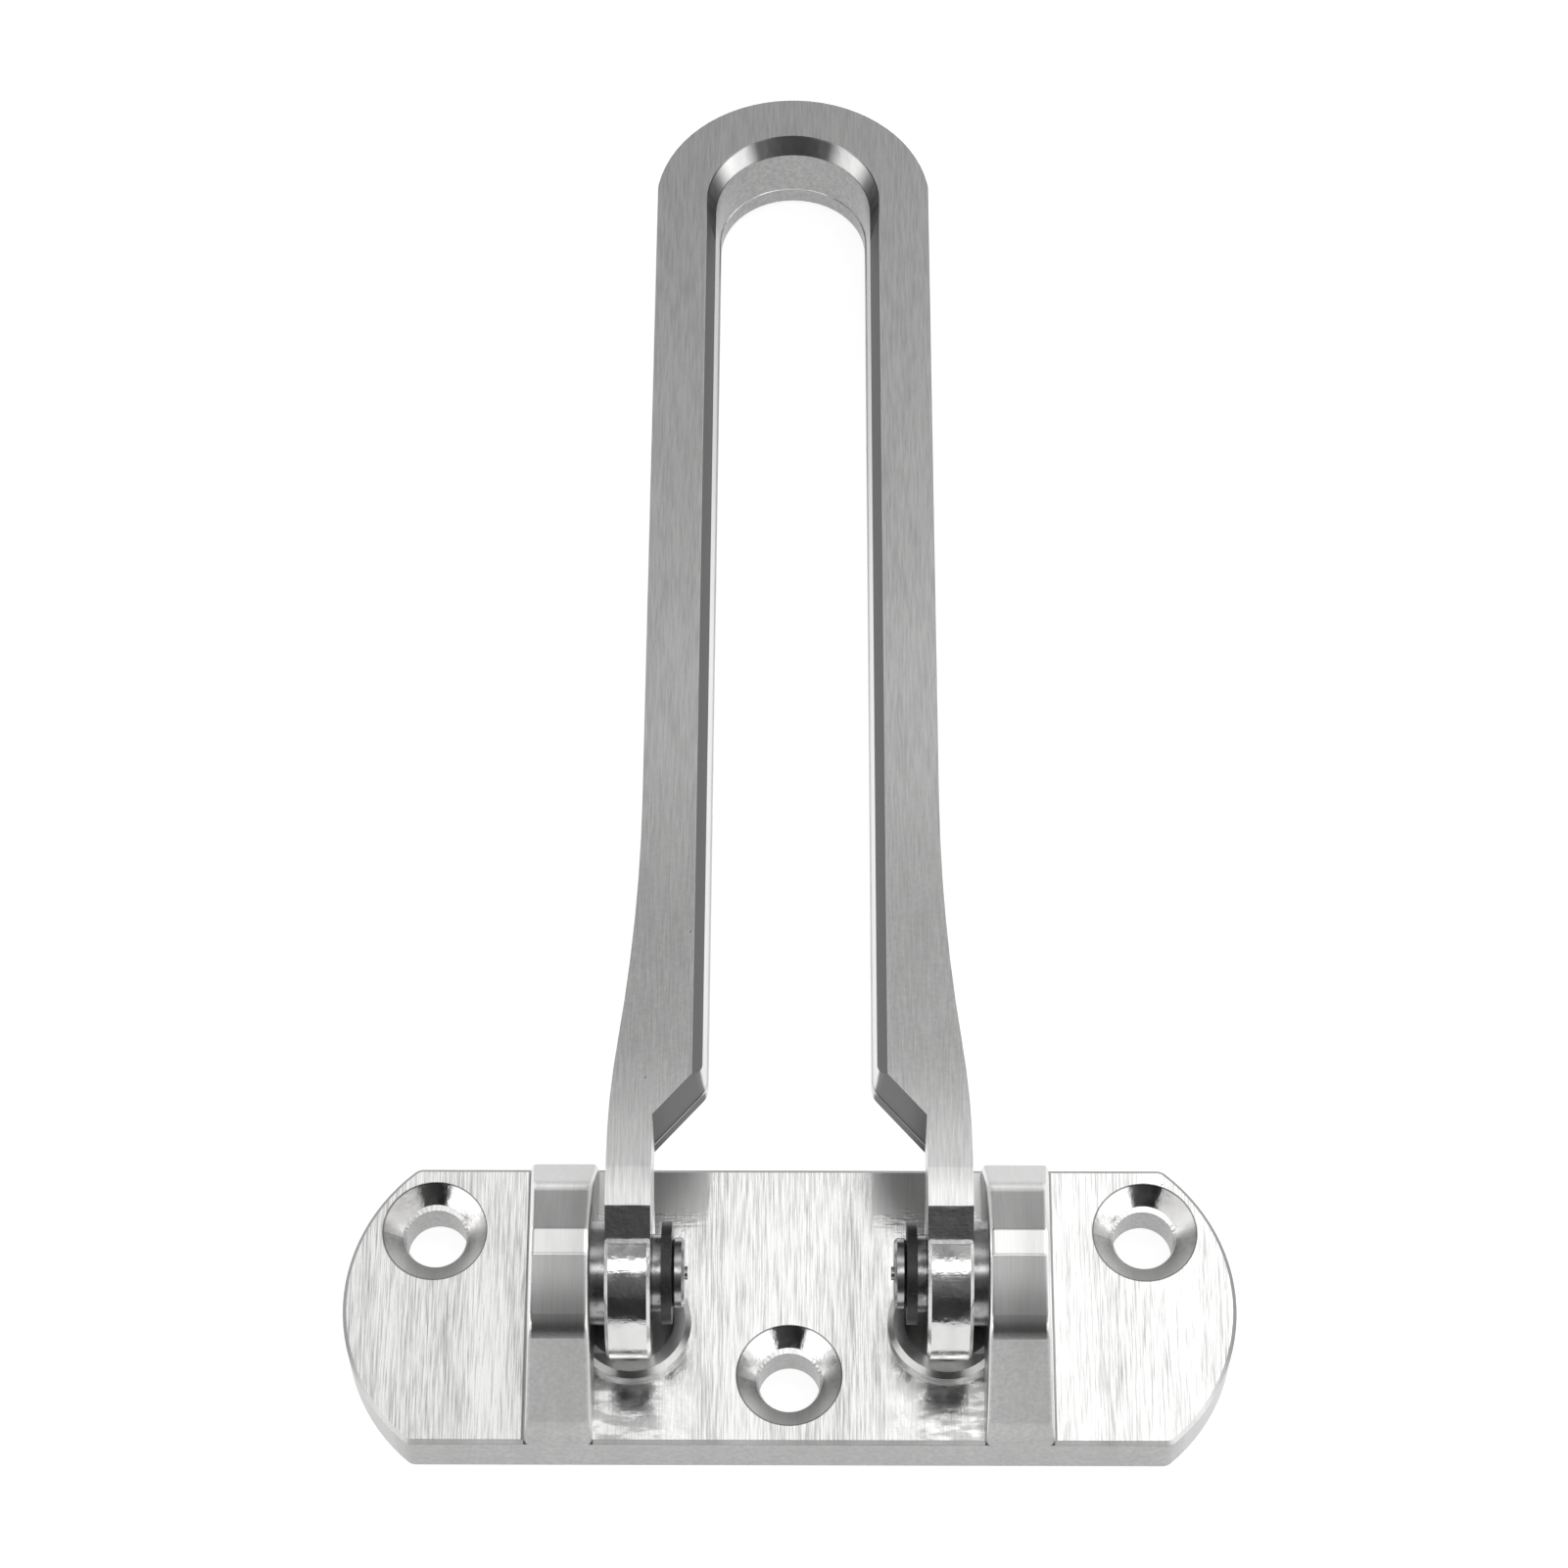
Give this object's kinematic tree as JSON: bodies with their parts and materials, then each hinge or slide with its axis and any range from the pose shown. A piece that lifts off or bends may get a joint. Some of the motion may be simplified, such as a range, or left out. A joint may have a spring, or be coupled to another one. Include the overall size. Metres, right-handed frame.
{
  "type": "door guard swing arm",
  "caption": "Swing-arm half of a door guard: a countersunk base plate with upright lugs carries a long slotted U-shaped arm on hinge pins, held by friction washers.",
  "frame": {"origin": "centre of the base plate's back face, on the mounting surface", "axes": "+X along the base plate, +Y from the plate's front edge towards the tip of the closed arm, +Z out of the mounting surface"},
  "size_m": [0.08, 0.1433, 0.022],
  "materials": {
    "plate_nickel": "satin nickel on die-cast zinc, brushed on its flat faces",
    "arm_nickel": "satin nickel on die-cast zinc, brushed lengthwise",
    "pin_steel": "bright nickel",
    "washer_dark": "near-black, dull",
    "washer_steel": "plain bright steel"
  },
  "bodies": {
    "base": {"base_plate": "plate_nickel", "hinge_pin_left": "pin_steel", "hinge_pin_right": "pin_steel", "friction_washer_left": "washer_dark", "friction_washer_right": "washer_dark", "spring_washer_left": "washer_steel", "spring_washer_right": "washer_steel", "spacer_washer_left": "washer_steel", "spacer_washer_right": "washer_steel"},
    "arm": {"swing_arm": "arm_nickel"}
  },
  "joints": [
    {"name": "arm_swing", "type": "hinge", "parent": "base", "child": "arm", "pos_m": [0, 0, 0.0132], "axis": [1, 0, 0], "range_deg": [0, 145]}
  ]
}
